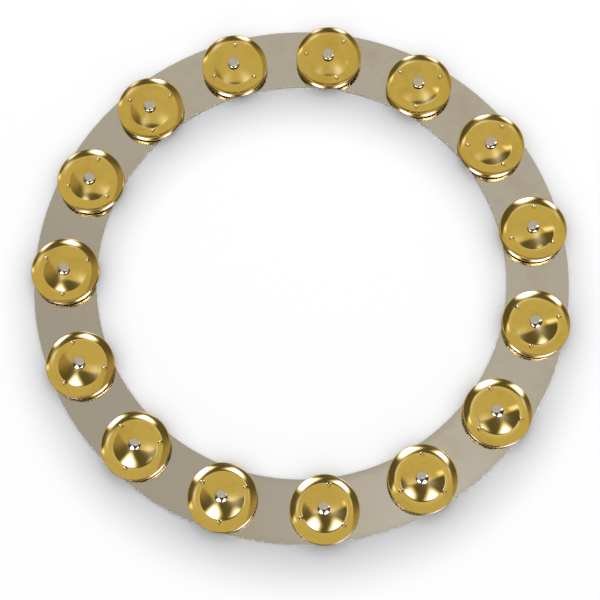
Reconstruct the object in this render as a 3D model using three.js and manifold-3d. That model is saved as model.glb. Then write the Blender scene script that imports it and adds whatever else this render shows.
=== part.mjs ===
// A jingle ring: a flat metal ring plate that carries pairs of loose brass jingles on upright rivets.
// Millimetres, +Z up. The origin is at the centre of the ring, on the plate's underside.
import * as THREE from "three";
import { mergeVertices } from "three/addons/utils/BufferGeometryUtils.js";
import Module from "manifold-3d";

// Ring plate
const plateOuterRadius = 177.8;
const plateWidth = 41.2; // of the flat strip, from its outer edge to its inner edge
const plateThickness = 1.5;
const plateLand = 0.7; // straight wall of each rivet hole, above its countersink

// Stations round the plate, the first one on +Y
const stationCount = 15;
const firstStationDeg = 90;

// Jingle, a pressed disc: a central dome, a flat valley round it and a flared rim
const jingleRadius = 22.4;
const jingleSheet = 0.5;
const domeRadius = 14.5;
const domeHeight = 3.2;
const valleyWidth = 2.7;
const rimRise = 1.9;

// Dents punched into the valley
const dentCount = 3;
const dentWidth = 2.2;
const dentDepth = 0.3;
const dentSides = 4; // the punch is a pyramid

// Direction of the first dent of each upper jingle, in degrees from +X, station by station
const dentDirectionsDeg = [56, 96, 43, 81, 33, 118, 14, 30, 87, 96, 110, 23, 91, 66, 29];
const lowerDentTurnDeg = 60; // the lower jingle's dents lie between those of the upper one

// Shouldered rivet
const shankRadius = 2.2;
const tenonRadius = 1.6;
const tailFlare = 1.2; // the peened tail is this much wider than the tenon, in radius
const tailInset = 0.1; // the tail lies this far inside the plate's underside
const headLap = 1.05; // the head reaches this far past the edge of the jingle's hole
const headEdge = 0.9;
const headDome = 0.8;
const headShoulder = 0.62; // share of the head's radius where its dome turns down

// Clearances
const rivetFit = 0.1; // rivet to its hole in the plate, all round
const jingleFit = 0.9; // shank to the jingle's hole, in radius
const shankGap = 0.3; // left between hole and shank on the side that a jingle has slid to
const seatGap = 0.2; // plate to lower jingle at rest
const pairGap = 0.4; // between the valleys of a pair at rest
const play = 1.6; // upper jingle to rivet head at rest

// Facets of the round forms
const plateFacets = 90;
const jingleFacets = 16;
const rivetFacets = 10;
const sameVertex = 1e-4; // vertices of a closed form this near each other are one

// Worked out from the sizes above
const plateInnerRadius = plateOuterRadius - plateWidth;
const stationRadius = plateOuterRadius - plateWidth / 2;
const holeRadius = shankRadius + jingleFit;
const headRadius = holeRadius + headLap;
const tailRadius = tenonRadius + tailFlare;
const valleyRadius = domeRadius + valleyWidth / 2;
const restSlide = jingleFit - shankGap;
const pairPlane = plateThickness + seatGap + domeHeight + jingleSheet + pairGap / 2;
const headBase = pairPlane + pairGap / 2 + jingleSheet + domeHeight + play;

const wasm = await Module();
wasm.setup();

// A solid made from a closed geometry, for cutting.
function solidOf(geometry) {
  const bare = geometry.clone();
  bare.deleteAttribute("normal");
  bare.deleteAttribute("uv");
  const merged = mergeVertices(bare, sameVertex);
  return new wasm.Manifold(
    new wasm.Mesh({
      numProp: 3,
      vertProperties: merged.attributes.position.array,
      triVerts: new Uint32Array(merged.index.array),
    }),
  );
}

// The geometry of a cut solid.
function geometryOf(solid) {
  const { vertProperties, triVerts } = solid.getMesh();
  const geometry = new THREE.BufferGeometry();
  geometry.setAttribute("position", new THREE.BufferAttribute(vertProperties, 3));
  geometry.setIndex(new THREE.BufferAttribute(triVerts, 1));
  geometry.computeVertexNormals();
  return geometry;
}

// A half profile of [radius, height] points, turned about +Z.
function turned(profile, facets) {
  const points = profile.map(([radius, height]) => new THREE.Vector2(radius, height));
  return new THREE.LatheGeometry(points, facets).rotateX(Math.PI / 2);
}

// Height of the dome's face above the valley, a shallow parabola that falls to nothing at its foot.
function domeAt(radius) {
  return domeHeight * (1 - (radius / domeRadius) ** 2);
}

// One jingle, dome up, with the underside of its valley at height 0.
function jingleGeometry() {
  const domeMiddle = (holeRadius + domeRadius) / 2;
  const underside = [
    [holeRadius, domeAt(holeRadius)],
    [domeMiddle, domeAt(domeMiddle)],
    [domeRadius, 0],
    [domeRadius + valleyWidth, 0],
    [jingleRadius, rimRise],
  ];
  const topside = underside.map(([radius, height]) => [radius, height + jingleSheet]).reverse();
  let solid = solidOf(turned([...underside, ...topside, underside[0]], jingleFacets));
  for (let k = 0; k < dentCount; k++) {
    const punch = new THREE.ConeGeometry(dentWidth, 2 * dentDepth, dentSides);
    punch.rotateX(-Math.PI / 2);
    punch.translate(valleyRadius, 0, jingleSheet);
    punch.rotateZ((k * 2 * Math.PI) / dentCount);
    solid = solid.subtract(solidOf(punch));
  }
  return geometryOf(solid);
}

// One rivet, standing with its shoulder on the plate and its tail peened flush underneath.
function rivetGeometry() {
  const shoulder = plateThickness + rivetFit;
  return turned(
    [
      [0, tailInset],
      [tailRadius, tailInset],
      [tenonRadius, plateThickness - plateLand],
      [tenonRadius, shoulder],
      [shankRadius, shoulder],
      [shankRadius, headBase],
      [headRadius, headBase],
      [headRadius, headBase + headEdge],
      [headShoulder * headRadius, headBase + headEdge + headDome * (1 - headShoulder ** 2)],
      [0, headBase + headEdge + headDome],
    ],
    rivetFacets,
  );
}

// The ring plate, with a countersunk hole at each station.
function plateGeometry(stations) {
  let solid = solidOf(
    turned(
      [
        [plateInnerRadius, 0],
        [plateOuterRadius, 0],
        [plateOuterRadius, plateThickness],
        [plateInnerRadius, plateThickness],
        [plateInnerRadius, 0],
      ],
      plateFacets,
    ),
  );
  const overcut = 1;
  const hole = turned(
    [
      [0, -overcut],
      [tailRadius + rivetFit, -overcut],
      [tailRadius + rivetFit, tailInset],
      [tenonRadius + rivetFit, plateThickness - plateLand],
      [tenonRadius + rivetFit, plateThickness + overcut],
      [0, plateThickness + overcut],
    ],
    rivetFacets,
  );
  for (const { x, y } of stations) {
    solid = solid.subtract(solidOf(hole.clone().translate(x, y, 0)));
  }
  return geometryOf(solid);
}

const nickelPlate = () => new THREE.MeshStandardMaterial({ color: 0xb0a894, roughness: 0.38, metalness: 1 });
const nickelRivet = () => new THREE.MeshStandardMaterial({ color: 0xc9c3b8, roughness: 0.12, metalness: 1 });
const brass = () => new THREE.MeshStandardMaterial({ color: 0xbf9f45, roughness: 0.16, metalness: 1 });

function named(name, geometry, material) {
  const mesh = new THREE.Mesh(geometry, material);
  mesh.name = name;
  return mesh;
}

const stations = Array.from({ length: stationCount }, (_, index) => {
  const angle = THREE.MathUtils.degToRad(firstStationDeg + (index * 360) / stationCount);
  return new THREE.Vector2(stationRadius * Math.cos(angle), stationRadius * Math.sin(angle));
});

const jingleRing = new THREE.Group();
jingleRing.add(named("ring_plate", plateGeometry(stations), nickelPlate()));

const rivetShape = rivetGeometry();
const jingleShape = jingleGeometry();
stations.forEach(({ x, y }, index) => {
  const number = String(index + 1).padStart(2, "0");
  const dentTurn = dentDirectionsDeg[index % dentDirectionsDeg.length];
  const station = new THREE.Group();
  station.position.set(x, y, 0);

  const rivet = named(`rivet_${number}`, rivetShape, nickelRivet());

  const upper = named(`upper_jingle_${number}`, jingleShape, brass());
  upper.position.set(restSlide, 0, pairPlane + pairGap / 2);
  upper.rotation.z = THREE.MathUtils.degToRad(dentTurn);

  const lower = named(`lower_jingle_${number}`, jingleShape, brass());
  lower.position.set(restSlide, 0, pairPlane - pairGap / 2);
  lower.rotation.x = Math.PI;
  lower.rotation.z = THREE.MathUtils.degToRad(lowerDentTurnDeg - dentTurn);

  station.add(rivet, lower, upper);
  jingleRing.add(station);
});

export default jingleRing;
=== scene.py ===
"""A jingle ring in its studio: a satin plate, polished rivets and pairs of pressed brass jingles.

Metres, +Z up. The ring lies flat, its plate's underside at height 0 and its first station on +Y.
"""

from __future__ import annotations

import logging
import math
from dataclasses import dataclass, field
from enum import Enum
from typing import Any

import bpy
import numpy as np
from mathutils import Matrix, Vector


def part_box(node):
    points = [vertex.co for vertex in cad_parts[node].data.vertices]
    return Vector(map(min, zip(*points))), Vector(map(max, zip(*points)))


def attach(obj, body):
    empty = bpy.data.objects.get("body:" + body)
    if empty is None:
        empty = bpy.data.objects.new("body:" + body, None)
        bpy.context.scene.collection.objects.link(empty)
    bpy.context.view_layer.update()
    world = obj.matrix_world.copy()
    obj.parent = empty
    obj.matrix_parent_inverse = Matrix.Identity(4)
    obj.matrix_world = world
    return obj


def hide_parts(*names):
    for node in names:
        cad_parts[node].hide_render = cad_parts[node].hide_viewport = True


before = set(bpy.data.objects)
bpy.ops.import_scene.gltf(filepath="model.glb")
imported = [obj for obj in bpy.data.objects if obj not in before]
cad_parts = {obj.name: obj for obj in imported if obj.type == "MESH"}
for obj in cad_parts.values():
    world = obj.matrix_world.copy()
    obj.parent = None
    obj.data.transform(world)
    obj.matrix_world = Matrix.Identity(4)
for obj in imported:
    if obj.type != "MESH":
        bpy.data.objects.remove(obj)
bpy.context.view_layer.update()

MM = 0.001
SEAT = "seat"  # attribute that holds a turned piece's own coordinates, centred on its axis
ROOM = "room"  # UV map that holds a studio sheet's points in the studio's directions

# Measures that more than one class reads
PLATE_OUTER = 177.8 * MM
PLATE_INNER = 136.6 * MM
PLATE_MIDDLE = (PLATE_OUTER + PLATE_INNER) / 2
PLATE_HALF = (PLATE_OUTER - PLATE_INNER) / 2
PLATE_TOP = 1.5 * MM
JINGLE_RADIUS = 22.32 * MM
STUDIO_TURN = math.radians(8.67)  # the studio and the camera stand this far round the ring

NOISE_MIDDLE = 0.5
MIX_FIRST, MIX_SECOND, MIX_RESULT = 6, 7, 2  # the colour sockets of a Mix node
WELD_STEP = 1e-7  # points that fall on one step of this grid are one point

Object = bpy.types.Object
Colour = tuple[float, float, float]
Spot = tuple[float, float]  # a place or a direction on a level plane
Span = tuple[float, float]  # where a change starts, and where it is complete

log = logging.getLogger("jingle_ring")


class Wire:
    """A shader socket that takes part in Python sums, each of which adds a Math node."""

    def __init__(self, tree: ShaderTree, socket: bpy.types.NodeSocket) -> None:
        """Keeps the socket and the tree that it belongs to."""
        self.tree = tree
        self.socket = socket

    def __add__(self, other: Number) -> Wire:
        """This value plus another, in either order."""
        return self.tree.math("ADD", self, other)

    __radd__ = __add__

    def __sub__(self, other: Number) -> Wire:
        """This value less another."""
        return self.tree.math("SUBTRACT", self, other)

    def __rsub__(self, other: Number) -> Wire:
        """Another value less this one."""
        return self.tree.math("SUBTRACT", other, self)

    def __mul__(self, other: Number) -> Wire:
        """This value times another, in either order."""
        return self.tree.math("MULTIPLY", self, other)

    __rmul__ = __mul__

    def __truediv__(self, other: Number) -> Wire:
        """This value over another."""
        return self.tree.math("DIVIDE", self, other)

    def __abs__(self) -> Wire:
        """This value without its sign."""
        return self.tree.math("ABSOLUTE", self)


Number = Wire | float
Paint = Wire | Colour


@dataclass(frozen=True)
class Noise:
    """A layer of cloudy noise from 0 to 1, and how strongly a finish shows it."""

    scale: float  # clouds per metre
    detail: float = 2.0  # how many finer layers are added
    roughness: float = 0.5  # how strongly the finer layers count
    band: Span = (0.0, 1.0)  # the values between which its tint comes in
    tint: float = 0.0  # the share of another colour past the band
    sway: float = 0.0  # how far a value moves from the noise's lowest point to its highest


class ShaderTree:
    """The nodes of one material or world."""

    def __init__(self, owner: bpy.types.Material | bpy.types.World) -> None:
        """Empties the owner's node tree.

        Args:
            owner: the material or world that the nodes belong to.
        """
        owner.use_nodes = True
        self.nodes = owner.node_tree.nodes
        self.links = owner.node_tree.links
        self.nodes.clear()

    def add(
        self,
        kind: str,
        settings: dict[str, Any] | None = None,
        sockets: dict[str | int, Any] | None = None,
        out: str | int = 0,
    ) -> Wire:
        """Adds one node.

        Args:
            kind: the node's type.
            settings: its properties, set before its sockets.
            sockets: a value or a wire for each input, by its name or number.
            out: the output that is handed back, by its name or number.

        Returns:
            The wire that leaves the node, or that enters it if it ends the tree.
        """
        node = self.nodes.new(kind)
        for name, value in (settings or {}).items():
            setattr(node, name, value)
        for name, value in (sockets or {}).items():
            if isinstance(value, Wire):
                self.links.new(value.socket, node.inputs[name])
            else:
                node.inputs[name].default_value = value
        return Wire(self, node.outputs[out] if len(node.outputs) else node.inputs[0])

    def math(self, operation: str, first: Number, second: Number = 0.0) -> Wire:
        """One Math node on two values."""
        return self.add("ShaderNodeMath", {"operation": operation}, {0: first, 1: second})

    def part(self, vector: Wire, axis: str) -> Wire:
        """A vector's part along one axis."""
        return self.add("ShaderNodeSeparateXYZ", None, {0: vector}, out=axis)

    def off_axis(self, point: Wire) -> Wire:
        """A point's distance from the upright axis: the length of its level part.

        Args:
            point: the point's wire.

        Returns:
            The distance, in metres.
        """
        inputs = {0: point, 1: (1.0, 1.0, 0.0)}
        level = self.add("ShaderNodeVectorMath", {"operation": "MULTIPLY"}, inputs)
        return self.add("ShaderNodeVectorMath", {"operation": "LENGTH"}, {0: level}, out="Value")

    def place(self) -> Wire:
        """The point's own place in the shared frame."""
        return self.add("ShaderNodeTexCoord", out="Object")

    def seat(self) -> Wire:
        """The point's place about its piece's own axis."""
        return self.add("ShaderNodeAttribute", {"attribute_name": SEAT}, out="Vector")

    def noise(self, point: Wire, layer: Noise) -> Wire:
        """A layer of noise, read at a point."""
        return self._noise("3D", {"Vector": point}, layer)

    def lines(self, along: Wire, layer: Noise) -> Wire:
        """A layer of noise that changes along one measure only, as turned lines do."""
        return self._noise("1D", {"W": along}, layer)

    def _noise(self, dimensions: str, where: dict[str, Wire], layer: Noise) -> Wire:
        """One noise node, which reads the wire of the socket that is named."""
        look = {"Scale": layer.scale, "Detail": layer.detail, "Roughness": layer.roughness}
        return self.add("ShaderNodeTexNoise", {"noise_dimensions": dimensions}, where | look)

    def tint(self, value: Wire, layer: Noise) -> Wire:
        """The share of another colour that a layer's noise brings in."""
        return self.rise(value, layer.band) * layer.tint

    def sway(self, value: Wire, layer: Noise) -> Wire:
        """How far a layer's noise moves a value up or down."""
        return (value - NOISE_MIDDLE) * layer.sway

    def rise(self, value: Wire, span: Span) -> Wire:
        """A smooth step, 3 t^2 - 2 t^3 with t the share of the way along a span.

        Args:
            value: the value that makes the step.
            span: where the step leaves 0, and where it reaches 1.

        Returns:
            The step's height.
        """
        settings = {"interpolation_type": "SMOOTHSTEP", "clamp": True}
        sockets = {"Value": value, "From Min": span[0], "From Max": span[1]}
        return self.add("ShaderNodeMapRange", settings, sockets)

    def mix(self, share: Number, first: Paint, second: Paint) -> Wire:
        """A colour between two colours.

        Args:
            share: how much of the second colour there is, from 0 to 1.
            first: the first colour.
            second: the second colour.

        Returns:
            The mixed colour.
        """
        settings = {"data_type": "RGBA", "clamp_factor": True}
        sockets = {0: share, MIX_FIRST: opaque(first), MIX_SECOND: opaque(second)}
        return self.add("ShaderNodeMix", settings, sockets, out=MIX_RESULT)

    def bump(self, height: Wire, depth: float, strength: float) -> Wire:
        """A normal that follows a height.

        Args:
            height: the height, from 0 to 1.
            depth: what a height of 1 stands for, in metres.
            strength: the share of the effect that is kept.

        Returns:
            The normal's wire.
        """
        sockets = {"Height": height, "Distance": depth, "Strength": strength}
        return self.add("ShaderNodeBump", None, sockets)

    def metal(self, colour: Wire, roughness: Wire, normal: Wire) -> Wire:
        """The shader of a bare metal."""
        sockets = {"Base Color": colour, "Metallic": 1.0, "Roughness": roughness, "Normal": normal}
        return self.add("ShaderNodeBsdfPrincipled", None, sockets)

    def emission(self, colour: Paint) -> Wire:
        """A shader that gives off light of one strength."""
        return self.add("ShaderNodeEmission", None, {"Color": opaque(colour), "Strength": 1.0})

    def over(self, below: Wire, above: Wire, share: Wire) -> Wire:
        """One shader laid over another, by its share."""
        return self.add("ShaderNodeMixShader", None, {0: share, 1: below, 2: above})

    def surface(self, shader: Wire) -> None:
        """Ends the tree in a surface output."""
        self.add("ShaderNodeOutputMaterial", None, {"Surface": shader})


def opaque(colour: Paint) -> Wire | tuple[float, float, float, float]:
    """A colour with the fourth value that a socket asks for; a wire stays as it is."""
    return colour if isinstance(colour, Wire) else (*colour, 1.0)


class Finish:
    """What every finish shares: a name, and a material that is made once."""

    name: str

    def dress(self, tree: ShaderTree) -> Wire:
        """Adds the finish's nodes.

        Args:
            tree: the material's nodes.

        Returns:
            The finish's shader.
        """
        raise NotImplementedError

    def material(self) -> bpy.types.Material:
        """Makes the finish's material when it is first asked for.

        Returns:
            The material.
        """
        found = bpy.data.materials.get(self.name)
        if found is None:
            found = bpy.data.materials.new(self.name)
            tree = ShaderTree(found)
            tree.surface(self.dress(tree))
        return found


@dataclass(frozen=True)
class BrassFinish(Finish):
    """Polished brass sheet with faint turned lines and a little tarnish, painted shade along the
    rim's edge, and painted light that makes the faces that look down paler.
    """

    name: str = "polished_brass"
    clean: Colour = (0.60, 0.41, 0.078)
    tarnished: Colour = (0.46, 0.285, 0.042)
    # painted shade: the colour that the rim's last half millimetre is darkened towards
    rim_shade: Colour = (0.36, 0.215, 0.04)
    under: Colour = (0.74, 0.60, 0.30)  # paler colour of the faces that look down: painted light that whitens what they mirror
    clouds: Noise = Noise(70.0, 4.0, 0.6, band=(0.44, 0.74), tint=0.42, sway=0.08)
    spots: Noise = Noise(300.0, 3.0, 0.6, band=(0.5, 0.8), tint=0.25)
    turned: Noise = Noise(2600.0, 3.0, band=(0.55, 0.8), tint=0.12)
    grain: Noise = Noise(1400.0, sway=0.05)
    roughness: float = 0.08
    under_fade: Span = (0.1, 0.5)  # by how far the surface looks down, 1 being straight down
    under_roughness: float = 0.14
    edge_fade: Span = (JINGLE_RADIUS - 0.6 * MM, JINGLE_RADIUS - 0.1 * MM)
    # share of painted shade at the rim's edge
    rim_shade_share: float = 0.35
    edge_roughness: float = 0.25
    turned_relief: float = 0.7  # share of the turned lines in the relief, the rest being grain
    relief_depth: float = 0.004 * MM
    relief_strength: float = 0.5

    def dress(self, tree: ShaderTree) -> Wire:
        """Adds the brass.

        Args:
            tree: the material's nodes.

        Returns:
            The brass shader.
        """
        place = tree.place()
        radius = tree.off_axis(tree.seat())
        clouds = tree.noise(place, self.clouds)
        spots = tree.noise(place, self.spots)
        grain = tree.noise(place, self.grain)
        turned = tree.lines(radius, self.turned)
        facing = tree.add("ShaderNodeNewGeometry", out="Normal")
        under = tree.rise(0.0 - tree.part(facing, "Z"), self.under_fade)
        edge = tree.rise(radius, self.edge_fade)
        tarnish = tree.tint(clouds, self.clouds) + tree.tint(spots, self.spots)
        tarnish = tarnish + tree.tint(turned, self.turned)
        colour = tree.mix(tarnish, self.clean, self.tarnished)
        # painted shade: the rim's edge is darkened
        colour = tree.mix(edge * self.rim_shade_share, colour, self.rim_shade)
        # painted light: faces that look down turn paler, by how far they look down
        colour = tree.mix(under, colour, self.under)
        roughness = self.roughness + tree.sway(clouds, self.clouds) + tree.sway(grain, self.grain)
        roughness = roughness + under * self.under_roughness + edge * edge * self.edge_roughness
        relief = turned * self.turned_relief + grain * (1.0 - self.turned_relief)
        normal = tree.bump(relief, self.relief_depth, self.relief_strength)
        return tree.metal(colour, roughness, normal)


@dataclass(frozen=True)
class RivetFinish(Finish):
    """Bright nickel on a turned rivet, rougher on the wall of its head, where painted shade darkens
    it.
    """

    name: str = "bright_nickel"
    clean: Colour = (0.53, 0.45, 0.335)
    # the colour of wear, and of the painted shade on the head's wall
    dull_and_shaded: Colour = (0.40, 0.335, 0.245)
    clouds: Noise = Noise(420.0, 3.0, band=(0.45, 0.8), tint=0.5, sway=0.04)
    grain: Noise = Noise(2600.0, sway=0.03)
    roughness: float = 0.06
    wall_fade: Span = (3.8 * MM, 4.05 * MM)  # from the polished crown to the wall, off the axis
    # share of painted shade on the head's wall
    wall_shade: float = 0.6
    wall_roughness: float = 0.34
    relief_depth: float = 0.01 * MM
    relief_strength: float = 0.4

    def dress(self, tree: ShaderTree) -> Wire:
        """Adds the bright nickel.

        Args:
            tree: the material's nodes.

        Returns:
            The nickel shader.
        """
        place = tree.place()
        clouds = tree.noise(place, self.clouds)
        grain = tree.noise(place, self.grain)
        wall = tree.rise(tree.off_axis(tree.seat()), self.wall_fade)
        # wear clouds, plus painted shade on the head's wall
        wear_and_wall_shade = tree.tint(clouds, self.clouds) + wall * self.wall_shade
        roughness = self.roughness + tree.sway(clouds, self.clouds) + tree.sway(grain, self.grain)
        roughness = roughness + wall * self.wall_roughness
        normal = tree.bump(clouds, self.relief_depth, self.relief_strength)
        return tree.metal(tree.mix(wear_and_wall_shade, self.clean, self.dull_and_shaded), roughness, normal)


@dataclass(frozen=True)
class PlateFinish(Finish):
    """Satin nickel plate, rolled flat, with painted shade darkening one side, faint blotches and
    warm stains.
    """

    name: str = "satin_nickel"
    clean: Colour = (0.490, 0.435, 0.338)
    # the colour of the painted shade on one side, and of the blotches
    dull_and_shaded: Colour = (0.405, 0.357, 0.272)
    stained: Colour = (0.43, 0.36, 0.235)
    # painted shade: the plate darkens towards this side, where the light falls off
    shade_toward: Spot = (-0.549, -0.836)
    shade_fade: Span = (-90.0 * MM, 150.0 * MM)
    drift: Noise = Noise(14.0, 3.0, sway=60.0 * MM)  # wanders the start of the painted shade
    blotches: Noise = Noise(110.0, 4.0, 0.65, band=(0.48, 0.72), tint=0.3)
    stains: Noise = Noise(34.0, 3.0, 0.55, band=(0.5, 0.74), tint=0.55, sway=0.05)
    grain: Noise = Noise(1900.0, sway=0.03)
    roughness: float = 0.10
    edge_fade: Span = (PLATE_HALF - 0.2 * MM, PLATE_HALF - 0.1 * MM)  # off the strip's middle
    edge_roughness: float = 0.5
    relief_depth: float = 0.002 * MM
    relief_strength: float = 0.5

    def dress(self, tree: ShaderTree) -> Wire:
        """Adds the satin nickel.

        Args:
            tree: the material's nodes.

        Returns:
            The nickel shader.
        """
        place = tree.place()
        x, y = tree.part(place, "X"), tree.part(place, "Y")
        drift = tree.noise(place, self.drift)
        blotches = tree.noise(place, self.blotches)
        stains = tree.noise(place, self.stains)
        grain = tree.noise(place, self.grain)
        # painted shade: darker towards one side of the plate
        toward = x * self.shade_toward[0] + y * self.shade_toward[1]
        shaded_side = tree.rise(toward + tree.sway(drift, self.drift), self.shade_fade)
        colour = tree.mix(shaded_side, self.clean, self.dull_and_shaded)
        colour = tree.mix(tree.tint(blotches, self.blotches), colour, self.dull_and_shaded)
        colour = tree.mix(tree.tint(stains, self.stains), colour, self.stained)
        edge = tree.rise(abs(tree.off_axis(place) - PLATE_MIDDLE), self.edge_fade)
        roughness = self.roughness + tree.sway(stains, self.stains) + tree.sway(grain, self.grain)
        roughness = roughness + edge * self.edge_roughness
        normal = tree.bump(grain, self.relief_depth, self.relief_strength)
        return tree.metal(colour, roughness, normal)


def grid_quads(rows: int, columns: int, loop: bool) -> np.ndarray:
    """The faces of a grid of points whose columns run round an axis.

    The face at row i and column j joins the points (i, j), (i, j+1), (i+1, j+1) and (i+1, j).

    Args:
        rows: points along the profile.
        columns: points round the axis; the last column joins the first.
        loop: whether the last row joins the first.

    Returns:
        Four point numbers a face.
    """
    row = np.arange(rows if loop else rows - 1)[:, None]
    column = np.arange(columns)[None, :]
    below, above = row * columns, (row + 1) % rows * columns
    beside = (column + 1) % columns
    corners = [below + column, below + beside, above + beside, above + column]
    return np.stack(np.broadcast_arrays(*corners), axis=-1).reshape(-1, 4)


def even_angles(count: int) -> np.ndarray:
    """Angles that stand evenly round an axis, from 0."""
    return np.arange(count) * 2 * np.pi / count


def turned_points(radius: np.ndarray, height: np.ndarray, angle: np.ndarray) -> np.ndarray:
    """Carries a profile round the axis: x = radius cos(angle), y = radius sin(angle), z = height.

    Args:
        radius: each profile point's distance from the axis.
        height: each point's height, by profile point alone or by profile point and angle.
        angle: the angles round the axis.

    Returns:
        Points by profile point, angle and axis.
    """
    height = height if height.ndim == 2 else height[:, None]
    x = radius[:, None] * np.cos(angle)
    y = radius[:, None] * np.sin(angle)
    return np.stack(np.broadcast_arrays(x, y, height), axis=-1)


def unit(vectors: np.ndarray) -> np.ndarray:
    """Vectors brought to a length of 1."""
    return vectors / np.linalg.norm(vectors, axis=-1, keepdims=True)


def softened(corners: np.ndarray, reach: np.ndarray, steps: int) -> np.ndarray:
    """Rounds the inner corners of an outline.

    Each corner P becomes the parabola (1-s)^2 A + 2 s (1-s) P + s^2 B, where A and B lie at the
    corner's reach from it along its two edges and s runs from 0 to 1.

    Args:
        corners: the outline's corners, the first and last of which stay as they are.
        reach: how far from each inner corner its rounding starts.
        steps: points on each rounding.

    Returns:
        The outline's points.
    """
    before, corner, after = corners[:-2], corners[1:-1], corners[2:]
    start = corner + unit(before - corner) * reach[:, None]
    end = corner + unit(after - corner) * reach[:, None]
    s = np.linspace(0.0, 1.0, steps)[None, :, None]
    arcs = (1 - s) ** 2 * start[:, None] + 2 * s * (1 - s) * corner[:, None] + s**2 * end[:, None]
    return np.concatenate([corners[:1], arcs.reshape(-1, 2), corners[-1:]])


def smooth_step(value: np.ndarray, low: float, high: float) -> np.ndarray:
    """Rises from 0 at low to 1 at high as 3 t^2 - 2 t^3, where t is the share of the way."""
    t = np.clip((value - low) / (high - low), 0.0, 1.0)
    return t * t * (3 - 2 * t)


def weld(points: np.ndarray, faces: np.ndarray) -> tuple[np.ndarray, np.ndarray]:
    """Joins the points that lie on one spot.

    Args:
        points: the points.
        faces: four point numbers a face.

    Returns:
        The points that are left, and the faces on them.
    """
    spot = np.round(points / WELD_STEP).astype(np.int64)
    _, first, number = np.unique(spot, axis=0, return_index=True, return_inverse=True)
    return points[first], number.reshape(-1)[faces]


def node_points(node: str) -> np.ndarray:
    """Reads the corner points of a solid of the frame.

    Args:
        node: the solid's name.

    Returns:
        Points by number and axis, in metres.
    """
    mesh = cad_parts[node].data
    flat = np.empty(len(mesh.vertices) * 3)
    mesh.vertices.foreach_get("co", flat)
    return flat.reshape(-1, 3)


def node_axis(node: str) -> np.ndarray:
    """The middle of a solid of the frame, seen from above."""
    low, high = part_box(node)
    return (np.array(low) + np.array(high))[:2] / 2


def make_piece(
    name: str,
    points: np.ndarray,
    faces: list[list[int]],
    finish: Finish,
    seat: np.ndarray | None = None,
) -> Object:
    """Makes an object at the origin from points and faces.

    Args:
        name: the piece's name.
        points: its points, in the shared frame.
        faces: the point numbers of each face, anticlockwise from outside.
        finish: what it is dressed in.
        seat: each point's place about the piece's own axis, if its finish reads it.

    Returns:
        The new object.
    """
    mesh = bpy.data.meshes.new(name)
    mesh.from_pydata(points.reshape(-1, 3).tolist(), [], faces)
    mesh.polygons.foreach_set("use_smooth", np.ones(len(mesh.polygons), dtype=bool))
    if seat is not None:
        attribute = mesh.attributes.new(SEAT, "FLOAT_VECTOR", "POINT")
        attribute.data.foreach_set("vector", seat.reshape(-1).astype(np.float32))
    mesh.materials.append(finish.material())
    mesh.validate()
    mesh.update()
    piece = bpy.data.objects.new(name, mesh)
    bpy.context.scene.collection.objects.link(piece)
    return piece


def seat_piece(piece: Object, body: str, node: str) -> None:
    """Lets a piece stand for a solid of the frame.

    Args:
        piece: the new piece.
        body: the body that it moves with.
        node: the solid that it stands for.
    """
    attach(piece, body)
    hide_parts(node)
    faces = len(piece.data.polygons)
    log.info("%s rides on %s and stands for %s, %d faces", piece.name, body, node, faces)


class JingleSide(Enum):
    """Which jingle of a pair: the upper one has its dome up, the lower one is turned over."""

    UPPER = "upper"
    LOWER = "lower"


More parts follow.
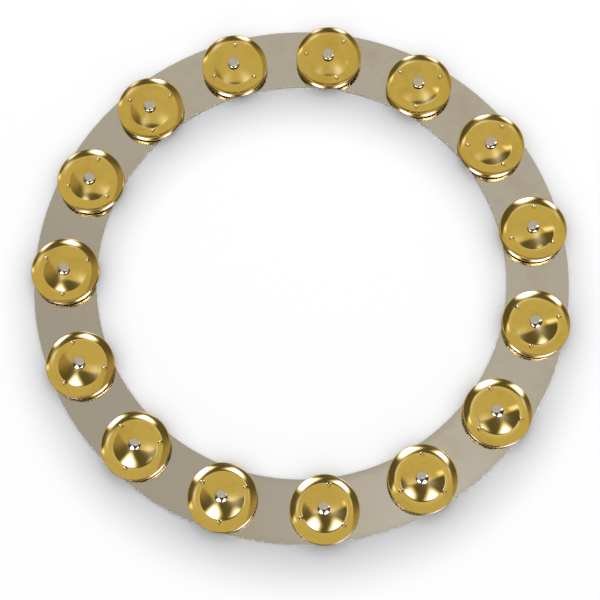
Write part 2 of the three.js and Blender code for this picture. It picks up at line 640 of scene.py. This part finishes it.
@dataclass
class Jingle:
    """A pressed brass disc with a dome, a trough round it, a flared rim and three punched dents."""

    number: int
    side: JingleSide
    finish: BrassFinish
    radius: float = JINGLE_RADIUS
    sheet: float = 0.5 * MM
    hole: float = 3.1 * MM
    dome_slope: float = 0.106  # at the axis
    dome_curl: float = 0.01765 / MM  # how fast the dome steepens outwards
    rim_slope: float = 0.62  # at the edge
    rim_curl: float = 0.08 / MM  # how fast the rim steepens outwards
    trough: float = 15.85 * MM  # where the trough is level
    trough_curl: float = 0.03 / MM  # how fast the trough's slope turns from falling to climbing
    dome_bend: Span = (13.6 * MM, 15.2 * MM)  # where the dome turns into the trough
    rim_bend: Span = (16.3 * MM, 18.0 * MM)  # where the trough turns into the rim
    dent_count: int = 3
    dent_radius: float = 15.9 * MM
    dent_half_width: float = 1.85 * MM
    dent_depth: float = 0.80 * MM
    dent_back: float = 0.42  # share of the depth that shows on the other face
    pit_band: Span = (0.1, 0.9)  # shares of the sheet between which a solid's pits are looked for
    rows: tuple[int, int, int] = (22, 28, 13)  # on the dome, across the bends and on the rim
    columns: int = 120
    crowding: float = 0.6  # how far the columns gather at the dents
    edge_steps: int = 7
    slope_samples: int = 2000  # that the slope is summed over

    @property
    def node(self) -> str:
        """The solid that this jingle stands for."""
        return f"{self.side.value}_jingle_{self.number:02d}"

    @property
    def body(self) -> str:
        """The body that this jingle moves with."""
        return f"{self.side.value}_{self.number:02d}"

    def slope(self, radius: np.ndarray) -> np.ndarray:
        """How steeply the sheet rises outwards.

        The dome falls at dome_slope plus dome_curl times the radius, the trough's slope grows by
        trough_curl from nothing at its middle, and the rim climbs at rim_slope less rim_curl times
        the distance from its edge. A smooth step across each bend passes from one to the next.

        Args:
            radius: distances from the axis.

        Returns:
            The slope at each distance.
        """
        past_dome = smooth_step(radius, *self.dome_bend)
        past_trough = smooth_step(radius, *self.rim_bend)
        dome = -(self.dome_slope + self.dome_curl * radius)
        trough = self.trough_curl * (radius - self.trough)
        rim = self.rim_slope - self.rim_curl * (self.radius - radius)
        return dome * (1 - past_dome) + trough * (past_dome - past_trough) + rim * past_trough

    def height(self, radius: np.ndarray) -> np.ndarray:
        """The sheet's underside above the bottom of its trough: the slope summed outwards.

        Args:
            radius: distances from the axis.

        Returns:
            The height at each distance.
        """
        fine = np.linspace(0.0, self.radius, self.slope_samples)
        steps = np.diff(fine) * (self.slope(fine[1:]) + self.slope(fine[:-1])) / 2
        climbed = np.concatenate([[0.0], np.cumsum(steps)])
        return np.interp(radius, fine, climbed - climbed.min())

    def profile(self) -> tuple[np.ndarray, np.ndarray, np.ndarray]:
        """The closed section of the sheet: out underneath, round the rim and in along the top.

        Returns:
            Each point's radius, its height, and the share of a dent's depth that it takes.
        """
        half = self.sheet / 2
        near, far = self.hole + half, self.radius - half
        bends, rim = self.dome_bend[0], self.rim_bend[1]
        dome = np.linspace(near, bends, self.rows[0], endpoint=False)
        trough = np.linspace(bends, rim, self.rows[1], endpoint=False)
        across = np.concatenate([dome, trough, np.linspace(rim, far, self.rows[2])])
        under = self.height(across)
        turn = np.linspace(-np.pi / 2, np.pi / 2, self.edge_steps)[1:-1]
        edge_out, edge_up = half * np.cos(turn), half * np.sin(turn) + half
        radius = [across, far + edge_out, across[::-1], near - edge_out]
        height = [under, under[-1] + edge_up, under[::-1] + self.sheet, under[0] + edge_up[::-1]]
        bare = np.zeros(len(turn))
        dented = [np.full(len(across), self.dent_back), bare, np.ones(len(across)), bare]
        return np.concatenate(radius), np.concatenate(height), np.concatenate(dented)

    def angles(self) -> np.ndarray:
        """Angles round the axis, gathered at the dents: a less crowding/n sin(n a), for n dents."""
        even = even_angles(self.columns)
        return even - self.crowding / self.dent_count * np.sin(self.dent_count * even)

    def dents(self, radius: np.ndarray, angle: np.ndarray) -> np.ndarray:
        """Depth of the punched dents, each a smooth pit about a point of the trough.

        With d the distance from the pit's middle over its half width, the depth falls off as
        1 - 3 d^2 + 2 d^3 and is nothing past d = 1.

        Args:
            radius: each profile point's distance from the axis.
            angle: the angles round the axis.

        Returns:
            The depth by profile point and angle.
        """
        spacing = 2 * np.pi / self.dent_count
        off = (angle + spacing / 2) % spacing - spacing / 2
        along = radius[:, None] * np.sin(off)
        out = radius[:, None] * np.cos(off) - self.dent_radius
        d = np.clip(np.hypot(along, out) / self.dent_half_width, 0.0, 1.0)
        return self.dent_depth * (1 - 3 * d**2 + 2 * d**3)

    def dent_turn(self) -> float:
        """Reads from the frame's solid which way its dents point.

        The pits' deepest points are the only corners between the two faces of the trough.

        Returns:
            The angle of one dent, in radians.
        """
        points = node_points(self.node)
        low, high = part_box(self.node)
        depth = points[:, 2] - low.z if self.side is JingleSide.UPPER else high.z - points[:, 2]
        shallow, deep = (share * self.sheet for share in self.pit_band)
        pits = points[(depth > shallow) & (depth < deep)][:, :2]
        arms = pits - node_axis(self.node)
        turns = np.arctan2(arms[:, 1], arms[:, 0]) * self.dent_count
        return float(np.angle(np.exp(1j * turns).mean())) / self.dent_count

    def build(self) -> Object:
        """Makes the jingle where the frame's solid lies.

        Returns:
            The jingle's object.
        """
        radius, height, dented = self.profile()
        angle = self.angles()
        pits = dented[:, None] * self.dents(radius, angle)
        own = turned_points(radius, height[:, None] - pits, angle)
        low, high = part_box(self.node)
        if self.side is JingleSide.UPPER:
            level, tumble = low.z, Matrix.Identity(3)
        else:
            level, tumble = high.z, Matrix.Rotation(math.pi, 3, "X")
        pose = np.array(Matrix.Rotation(self.dent_turn(), 3, "Z") @ tumble)
        points = own @ pose.T + np.array([*node_axis(self.node), level])
        faces = grid_quads(len(radius), self.columns, loop=True).tolist()
        name = f"{self.side.value}_brass_{self.number:02d}"
        piece = make_piece(name, points, faces, self.finish, own)
        seat_piece(piece, self.body, self.node)
        return piece


@dataclass
class Rivet:
    """A shouldered rivet: a tail peened into the plate, a shank and a low domed head."""

    number: int
    finish: RivetFinish
    shank: float = 2.2 * MM
    tenon: float = 1.6 * MM
    tail: float = 2.8 * MM
    tail_start: float = 0.3 * MM  # the tail's face is drawn to one point inside this radius
    tail_inset: float = 0.1 * MM
    countersink: float = 0.8 * MM
    shoulder: float = 1.6 * MM
    head: float = 4.15 * MM
    head_base: float = 11.1 * MM
    head_edge: float = 0.8 * MM
    head_dome: float = 0.9 * MM
    crown_start: float = 3.65 * MM  # where the rounded edge passes into the head's dome
    crown_end: float = 0.15 * MM  # the dome is drawn to one point inside this radius
    crown_steps: int = 18
    rounding: tuple[float, ...] = (0.08, 0.1, 0.08, 0.08, 0.2, 0.18, 0.4)  # mm, corner by corner
    rounding_steps: int = 6
    columns: int = 72

    @property
    def node(self) -> str:
        """The solid that this rivet stands for."""
        return f"rivet_{self.number:02d}"

    def profile(self) -> np.ndarray:
        """The half section, from the tail's middle to the top of the head.

        The head's top is a parabola, head_dome high at the axis, that meets a rounded edge.

        Returns:
            Points of radius and height, all off the axis.
        """
        top = self.head_base + self.head_edge
        corners = np.array(
            [
                [self.tail_start, self.tail_inset],
                [self.tail, self.tail_inset],
                [self.tenon, self.countersink],
                [self.tenon, self.shoulder],
                [self.shank, self.shoulder],
                [self.shank, self.head_base],
                [self.head, self.head_base],
                [self.head, top],
                [self.crown_start, top + self._dome(self.crown_start)],
            ]
        )
        body = softened(corners, np.array(self.rounding) * MM, self.rounding_steps)
        across = np.linspace(self.crown_start, self.crown_end, self.crown_steps)[1:]
        crown = np.stack([across, top + self._dome(across)], axis=-1)
        return np.concatenate([body, crown])

    def _dome(self, radius: np.ndarray | float) -> np.ndarray | float:
        """The head's rise above its edge: head_dome times 1 less the square of radius over head."""
        return self.head_dome * (1 - (radius / self.head) ** 2)

    def build(self) -> Object:
        """Makes the rivet where the frame's solid stands.

        Returns:
            The rivet's object.
        """
        outline = self.profile()
        angle = even_angles(self.columns)
        ring = turned_points(outline[:, 0], outline[:, 1], angle).reshape(-1, 3)
        tail_point = [0.0, 0.0, self.tail_inset]
        head_point = [0.0, 0.0, self.head_base + self.head_edge + self.head_dome]
        own = np.concatenate([ring, [tail_point, head_point]])
        points = own + np.array([*node_axis(self.node), 0.0])
        quads = grid_quads(len(outline), self.columns, loop=False).tolist()
        here = np.arange(self.columns)
        beside = (here + 1) % self.columns
        last = len(ring) - self.columns
        bottom = np.stack([beside, here, np.full_like(here, len(ring))], axis=-1)
        crown = np.stack([last + here, last + beside, np.full_like(here, len(ring) + 1)], axis=-1)
        faces = quads + bottom.tolist() + crown.tolist()
        piece = make_piece(f"nickel_rivet_{self.number:02d}", points, faces, self.finish, own)
        seat_piece(piece, "ring", self.node)
        return piece


@dataclass
class RingPlate:
    """The flat ring, with softened edges and a countersunk hole at each station."""

    finish: PlateFinish
    stations: int
    outer: float = PLATE_OUTER
    inner: float = PLATE_INNER
    thickness: float = PLATE_TOP
    edge_round: float = 0.12 * MM
    rounding_steps: int = 6
    hole: float = 1.7 * MM
    countersink: float = 2.9 * MM
    countersink_depth: float = 0.8 * MM
    countersink_rim: float = 0.1 * MM
    arc_steps: int = 24
    side_steps: int = 10
    hole_steps: int = 7
    first_angle: float = np.pi / 2
    sharp_deg: float = 35.0  # faces that meet at more than this don't shade into each other

    def outline(self) -> tuple[np.ndarray, np.ndarray]:
        """The border of one station's share of the plate, anticlockwise.

        Returns:
            Each border point's angle from the station, and its distance from the ring's centre.
        """
        half = np.pi / self.stations
        low, high = self.inner + self.edge_round, self.outer - self.edge_round
        arc = np.linspace(-half, half, self.arc_steps + 1)[:-1]
        side = np.linspace(low, high, self.side_steps + 1)[:-1]
        angle = [-arc, np.full(self.side_steps, -half), arc, np.full(self.side_steps, half)]
        far, near = np.full(self.arc_steps, high), np.full(self.arc_steps, low)
        reach = [far, (low + high) - side, near, side]
        return -np.concatenate(angle), np.concatenate(reach)

    def face(self, hole: float, level: float) -> np.ndarray:
        """One face of the plate: straight lines from each hole's rim to its station's border.

        A point is (1-t) times the rim's point plus t times the border's, t from 0 to 1.

        Args:
            hole: the hole's radius in this face.
            level: the face's height.

        Returns:
            Points by station, step from rim to border, place on the border, and axis.
        """
        turn, reach = self.outline()
        station = self.first_angle + even_angles(self.stations)[:, None]
        border = np.stack([reach * np.cos(station + turn), reach * np.sin(station + turn)], axis=-1)
        middle = (self.outer + self.inner) / 2
        centre = middle * np.stack([np.cos(station), np.sin(station)], axis=-1)
        rim = centre + hole * unit(border - centre)
        t = (np.linspace(0.0, 1.0, self.hole_steps) ** 2)[:, None, None]
        flat = (1 - t) * rim[:, None] + t * border[:, None]
        return np.concatenate([flat, np.full((*flat.shape[:-1], 1), level)], axis=-1)

    def hole_wall(self) -> np.ndarray:
        """The walls of the holes: each hole's rim carried up the countersink's section.

        Returns:
            Points by station, step up the wall, place round the hole, and axis.
        """
        section = [
            (self.countersink, 0.0),
            (self.countersink, self.countersink_rim),
            (self.hole, self.countersink_depth),
            (self.hole, self.thickness),
        ]
        return np.stack([self.face(hole, level)[:, 0] for hole, level in section], axis=1)

    def edge(self, radius: float, outward: float) -> np.ndarray:
        """An edge of the plate: a rounded section carried round the ring.

        Args:
            radius: the edge's distance from the centre.
            outward: 1 for the outer edge, -1 for the inner one.

        Returns:
            Points by section point, angle and axis.
        """
        inset, top = radius - outward * self.edge_round, self.thickness
        corners = np.array([[inset, 0.0], [radius, 0.0], [radius, top], [inset, top]])
        section = softened(corners, np.full(2, self.edge_round), self.rounding_steps)
        start = self.first_angle - np.pi / self.stations
        angle = start + even_angles(self.stations * self.arc_steps)
        return turned_points(section[1:-1, 0], section[1:-1, 1], angle)

    def build(self) -> Object:
        """Makes the plate and closes its seams.

        Returns:
            The plate's object.
        """
        top = self.face(self.hole, self.thickness)[:, ::-1]
        bottom = self.face(self.countersink, 0.0)
        patches = [*top, *bottom, *self.hole_wall()[:, ::-1]]
        patches += [self.edge(self.outer, 1.0), self.edge(self.inner, -1.0)[::-1]]
        counts = [math.prod(patch.shape[:2]) for patch in patches]
        starts = np.concatenate([[0], np.cumsum(counts)[:-1]])
        quads = [
            start + grid_quads(*patch.shape[:2], loop=False)
            for start, patch in zip(starts, patches)
        ]
        points = np.concatenate([patch.reshape(-1, 3) for patch in patches])
        points, faces = weld(points, np.concatenate(quads))
        piece = make_piece("satin_plate", points, faces.tolist(), self.finish)
        piece.data.set_sharp_from_angle(angle=math.radians(self.sharp_deg))
        seat_piece(piece, "ring", "ring_plate")
        return piece


class CeilingPart:
    """A part of the studio ceiling."""

    def share(self, tree: ShaderTree, x: Wire, y: Wire) -> Wire:
        """How much of a ceiling point the part covers.

        Args:
            tree: the ceiling's nodes.
            x: the point's distance to the right, in metres.
            y: the point's distance away from the camera, in metres.

        Returns:
            The share, from 0 to 1.
        """
        raise NotImplementedError


@dataclass(frozen=True)
class SoftPanel(CeilingPart):
    """A lamp's face on the studio ceiling: a turned rectangle with a soft border."""

    centre: Spot
    half: Spot
    turn_deg: float
    border: float
    most: float = 1.0

    def share(self, tree: ShaderTree, x: Wire, y: Wire) -> Wire:
        """How much the panel covers: a smooth step across its border each way, multiplied.

        Args:
            tree: the ceiling's nodes.
            x: the point's distance to the right, in metres.
            y: the point's distance away from the camera, in metres.

        Returns:
            A value from 0 to most.
        """
        c, s = math.cos(math.radians(self.turn_deg)), math.sin(math.radians(self.turn_deg))
        along = (x - self.centre[0]) * c + (y - self.centre[1]) * s
        across = (y - self.centre[1]) * c - (x - self.centre[0]) * s
        inside = [
            tree.rise(half - abs(way), (-self.border, self.border))
            for way, half in zip((along, across), self.half)
        ]
        return self.most * inside[0] * inside[1]


@dataclass(frozen=True)
class Glow(CeilingPart):
    """A round bright patch where a lamp stands close behind the scrim."""

    centre: Spot
    reach: float
    most: float

    def share(self, tree: ShaderTree, x: Wire, y: Wire) -> Wire:
        """How much the patch covers: most times exp(-(distance / reach)^2).

        Args:
            tree: the ceiling's nodes.
            x: the point's distance to the right, in metres.
            y: the point's distance away from the camera, in metres.

        Returns:
            A value from 0 to most.
        """
        across, along = x - self.centre[0], y - self.centre[1]
        away = (across * across + along * along) / self.reach**2
        return self.most * tree.math("EXPONENT", away * -1.0)


@dataclass(frozen=True)
class ScrimEdge(CeilingPart):
    """A straight soft edge of the scrim, where the reach towards one side passes an offset."""

    toward: Spot
    offset: float
    border: float

    def share(self, tree: ShaderTree, x: Wire, y: Wire) -> Wire:
        """1 on the scrim's side of the edge, 0 on the other."""
        past = x * self.toward[0] + y * self.toward[1] - self.offset
        return tree.rise(past, (-self.border, self.border))


@dataclass(frozen=True)
class CeilingFinish(Finish):
    """What polished metal mirrors: a lit scrim overhead, soft lamps and the dark room between."""

    name: str
    dark: Colour = (0.168, 0.166, 0.19)
    haze: Colour = (0.58, 0.53, 0.54)  # the far left of the room
    haze_fade: tuple[Span, Span] = ((-0.8, -1.7), (-0.4, 1.1))  # to the left, and away
    scrim: Colour = (0.855, 0.855, 0.855)
    beyond: Colour = (0.36, 0.29, 0.22)  # the gap past the scrim's far end
    beyond_fade: tuple[Span, Span] = ((4.9, 6.0), (8.4, 7.2))  # in from its near and far sides
    glow_light: Colour = (4.2, 5.0, 14.0)
    panel_fringe: Colour = (4.4, 5.0, 5.0)  # a panel's light where it has nearly faded
    panel_core: Colour = (4.4, 5.0, 26.0)
    see_through: bool = False
    edges: tuple[ScrimEdge, ...] = (
        ScrimEdge((0.0, 1.0), -0.27, 0.08),
        ScrimEdge((0.87, 0.49), -0.905, 0.14),
        ScrimEdge((-0.573, 0.819), -0.60, 0.09),
    )
    glows: tuple[Glow, ...] = (
        Glow((0.80, -0.10), 0.46, 0.115),
        Glow((0.72, -0.06), 0.26, 0.09),
        Glow((-0.72, -0.12), 0.32, 0.10),
        Glow((-1.40, -2.20), 0.80, 0.05),
    )
    panels: tuple[SoftPanel, ...] = (
        SoftPanel((-0.93, -1.04), (0.44, 0.40), 38.0, 0.27),
        SoftPanel((1.20, -1.56), (0.76, 0.59), -32.0, 0.31),
        SoftPanel((2.02, 0.84), (0.52, 0.16), 25.0, 0.19, 0.31),
        SoftPanel((3.20, 1.50), (0.80, 0.20), 33.0, 0.18, 0.09),
    )

    def dress(self, tree: ShaderTree) -> Wire:
        """Adds the ceiling's light.

        Args:
            tree: the material's nodes.

        Returns:
            The ceiling's shader.
        """
        spot = tree.add("ShaderNodeUVMap", {"uv_map": ROOM})
        x, y = tree.part(spot, "X"), tree.part(spot, "Y")
        cover = self.edges[0].share(tree, x, y)
        for edge in self.edges[1:]:
            cover = cover * edge.share(tree, x, y)
        hazed = tree.rise(x, self.haze_fade[0]) * tree.rise(y, self.haze_fade[1])
        past = tree.rise(y, self.beyond_fade[0]) * tree.rise(y, self.beyond_fade[1])
        unlit = tree.mix(hazed, self.dark, self.haze)
        lit = tree.mix(past, self.scrim, self.beyond)
        shader = tree.emission(tree.mix(cover, unlit, lit))
        for glow in self.glows:
            shader = tree.over(shader, tree.emission(self.glow_light), glow.share(tree, x, y))
        for panel in self.panels:
            share = panel.share(tree, x, y)
            light = tree.mix(share, self.panel_fringe, self.panel_core)
            shader = tree.over(shader, tree.emission(light), share)
        if self.see_through:
            clear = tree.add("ShaderNodeBsdfTransparent")
            shader = tree.add("ShaderNodeAddShader", None, {0: shader, 1: clear})
        return shader


@dataclass(frozen=True)
class FloorFinish(Finish):
    """White table paper with a wide soft painted shade where the ring would leave its shadow."""

    name: str = "white_paper"
    paper: Colour = (0.93, 0.93, 0.935)
    # the colour of the painted shade
    painted_shade: Colour = (0.53, 0.535, 0.55)
    drop: Spot = (0.0, 0.0)  # how far the painted shade lies from straight under the ring
    blur: float = 26.0 * MM

    def dress(self, tree: ShaderTree) -> Wire:
        """Adds the paper.

        Args:
            tree: the material's nodes.

        Returns:
            The paper's shader.
        """
        place = tree.add(
            "ShaderNodeMapping",
            {"vector_type": "POINT"},
            {"Vector": tree.place(), "Location": (-self.drop[0], -self.drop[1], 0.0)},
        )
        away = tree.off_axis(place)
        inside, outside = (
            tree.rise(away, (border - self.blur, border + self.blur))
            for border in (PLATE_INNER, PLATE_OUTER)
        )
        # painted shade: a soft band under the ring, moved by drop
        colour = tree.mix(inside * (1.0 - outside), self.paper, self.painted_shade)
        sockets = {"Base Color": colour, "Roughness": 1.0, "Specular IOR Level": 0.0}
        return tree.add("ShaderNodeBsdfPrincipled", None, sockets)


@dataclass
class Studio:
    """The table, the ceilings that the two metals mirror, a broad lamp and the white room."""

    table_half: float = 6.0
    table_gap: float = 0.05 * MM  # between the table and the plate
    shade_drop: float = 16.0 * MM  # how far the painted shade on the table lies towards the camera
    ceiling_half: float = 9.0
    ceiling_height: float = 2.0  # above the plate
    ceiling_gap: float = 1.0 * MM  # from the brass's ceiling up to the nickel's
    unseen_by: tuple[str, ...] = ("camera", "diffuse", "transmission", "volume_scatter", "shadow")
    nickel_dark: Colour = (0.09, 0.09, 0.09)
    nickel_light: Colour = (18.0, 19.0, 22.5)
    nickel_glow: Glow = Glow((0.24, 0.04), 0.28, 0.021)
    lamp_place: tuple[float, float, float] = (0.35, 0.9, 1.5)
    lamp_width: float = 0.9
    lamp_watts: float = 3.0
    room: Colour = (1.0, 1.0, 1.0)

    def turned(self, x: float, y: float, z: float) -> Vector:
        """A place given in the studio's directions, in the shared frame."""
        return Matrix.Rotation(STUDIO_TURN, 3, "Z") @ Vector((x, y, z))

    def sheet(self, name: str, half: float, level: float, finish: Finish) -> Object:
        """Makes a level square sheet whose UV map holds its points in the studio's directions.

        Args:
            name: the sheet's name.
            half: half its side.
            level: its height.
            finish: what it is dressed in.

        Returns:
            The sheet's object.
        """
        corners = [(-half, -half), (half, -half), (half, half), (-half, half)]
        points = np.array([self.turned(x, y, level) for x, y in corners])
        piece = make_piece(name, points, [[0, 1, 2, 3]], finish)
        uv = piece.data.uv_layers.new(name=ROOM)
        uv.data.foreach_set("uv", np.array(corners, dtype=np.float32).reshape(-1))
        return piece

    def ceiling(
        self, metal: str, lift: float, finish: CeilingFinish, pieces: list[Object]
    ) -> None:
        """Hangs a ceiling that one metal's pieces mirror and nothing else sees.

        Args:
            metal: the metal's name.
            lift: how far above the ceilings' common height it hangs.
            finish: its light.
            pieces: the pieces of that metal.
        """
        height = PLATE_TOP + self.ceiling_height + lift
        sheet = self.sheet(f"ceiling_over_{metal}", self.ceiling_half, height, finish)
        for ray in self.unseen_by:
            setattr(sheet, f"visible_{ray}", False)
        mirrors = bpy.data.collections.new(f"{metal}_pieces")
        for piece in pieces:
            mirrors.objects.link(piece)
        sheet.light_linking.receiver_collection = mirrors

    def lamp(self) -> None:
        """Hangs a broad lamp on the far side, which nothing mirrors."""
        light = bpy.data.lights.new("broad_lamp", "AREA")
        light.shape = "DISK"
        light.size = self.lamp_width
        light.energy = self.lamp_watts
        lamp = bpy.data.objects.new("broad_lamp", light)
        lamp.location = self.turned(*self.lamp_place)
        lamp.rotation_euler = lamp.location.to_track_quat("Z", "Y").to_euler()
        lamp.visible_camera = False
        lamp.visible_glossy = False
        bpy.context.scene.collection.objects.link(lamp)

    def build(self, ring: JingleRing) -> None:
        """Makes the table, the ceilings, the lamp and the room.

        Args:
            ring: the ring that stands in the studio.
        """
        drop = self.turned(0.0, -self.shade_drop, 0.0)
        self.sheet("table", self.table_half, -self.table_gap, FloorFinish(drop=(drop.x, drop.y)))
        over_brass = CeilingFinish("light_over_brass", see_through=True)
        over_nickel = CeilingFinish(
            "light_over_nickel",
            dark=self.nickel_dark,
            glow_light=self.nickel_light,
            panel_fringe=self.nickel_light,
            panel_core=self.nickel_light,
            glows=(self.nickel_glow,),
        )
        self.ceiling("brass", 0.0, over_brass, ring.brass_pieces)
        self.ceiling("nickel", self.ceiling_gap, over_nickel, ring.nickel_pieces)
        self.lamp()
        world = bpy.data.worlds.new("white_room")
        tree = ShaderTree(world)
        light = {"Color": opaque(self.room), "Strength": 1.0}
        room = tree.add("ShaderNodeBackground", None, light)
        tree.add("ShaderNodeOutputWorld", None, {"Surface": room})
        bpy.context.scene.world = world
        bpy.context.scene.view_settings.view_transform = "Standard"
        log.info("the studio stands")


@dataclass
class PhotoCamera:
    """A long lens high on the near side, looking down at the ring."""

    elevation_deg: float = 73.92
    roll_deg: float = -1.95
    distance: float = 0.9843  # from the middle of the plate's top
    aim_right: float = -0.75 * MM
    aim_up: float = -16.32 * MM
    lens: float = 88.68
    sensor: float = 36.0

    def build(self) -> None:
        """Makes the camera and gives it to the scene."""
        rise = math.radians(self.elevation_deg)
        back = Vector((0.0, -math.cos(rise), math.sin(rise)))
        level = Vector((1.0, 0.0, 0.0))
        rolled = Matrix.Rotation(math.radians(self.roll_deg), 3, back)
        right = rolled @ level
        up = rolled @ back.cross(level)
        spun = Matrix.Rotation(STUDIO_TURN, 4, "Z")
        axes = Matrix((right, up, back)).transposed().to_4x4()
        place = back * self.distance + right * self.aim_right + up * self.aim_up
        data = bpy.data.cameras.new("photo_camera")
        data.sensor_width = self.sensor
        data.lens = self.lens
        camera = bpy.data.objects.new("photo_camera", data)
        lift = Matrix.Translation((0.0, 0.0, PLATE_TOP))
        camera.matrix_world = lift @ spun @ Matrix.Translation(place) @ axes
        bpy.context.scene.collection.objects.link(camera)
        bpy.context.scene.camera = camera
        log.info("the camera stands at %s", [round(v, 3) for v in camera.matrix_world.translation])


@dataclass
class JingleRing:
    """The whole ring: a plate, and at each station a rivet with a pair of jingles."""

    stations: int = 15
    plate_finish: PlateFinish = PlateFinish()
    rivet_finish: RivetFinish = RivetFinish()
    brass_finish: BrassFinish = BrassFinish()
    nickel_pieces: list[Object] = field(default_factory=list)
    brass_pieces: list[Object] = field(default_factory=list)

    def build(self) -> None:
        """Makes every piece in order, from the plate up."""
        self.nickel_pieces.append(RingPlate(self.plate_finish, self.stations).build())
        for number in range(1, self.stations + 1):
            self.nickel_pieces.append(Rivet(number, self.rivet_finish).build())
            for side in (JingleSide.LOWER, JingleSide.UPPER):
                self.brass_pieces.append(Jingle(number, side, self.brass_finish).build())


def main() -> None:
    """Builds the camera, the ring and the studio."""
    logging.basicConfig(level=logging.INFO, format="%(message)s")
    PhotoCamera().build()
    ring = JingleRing()
    ring.build()
    Studio().build(ring)


if __name__ == "__main__":
    main()
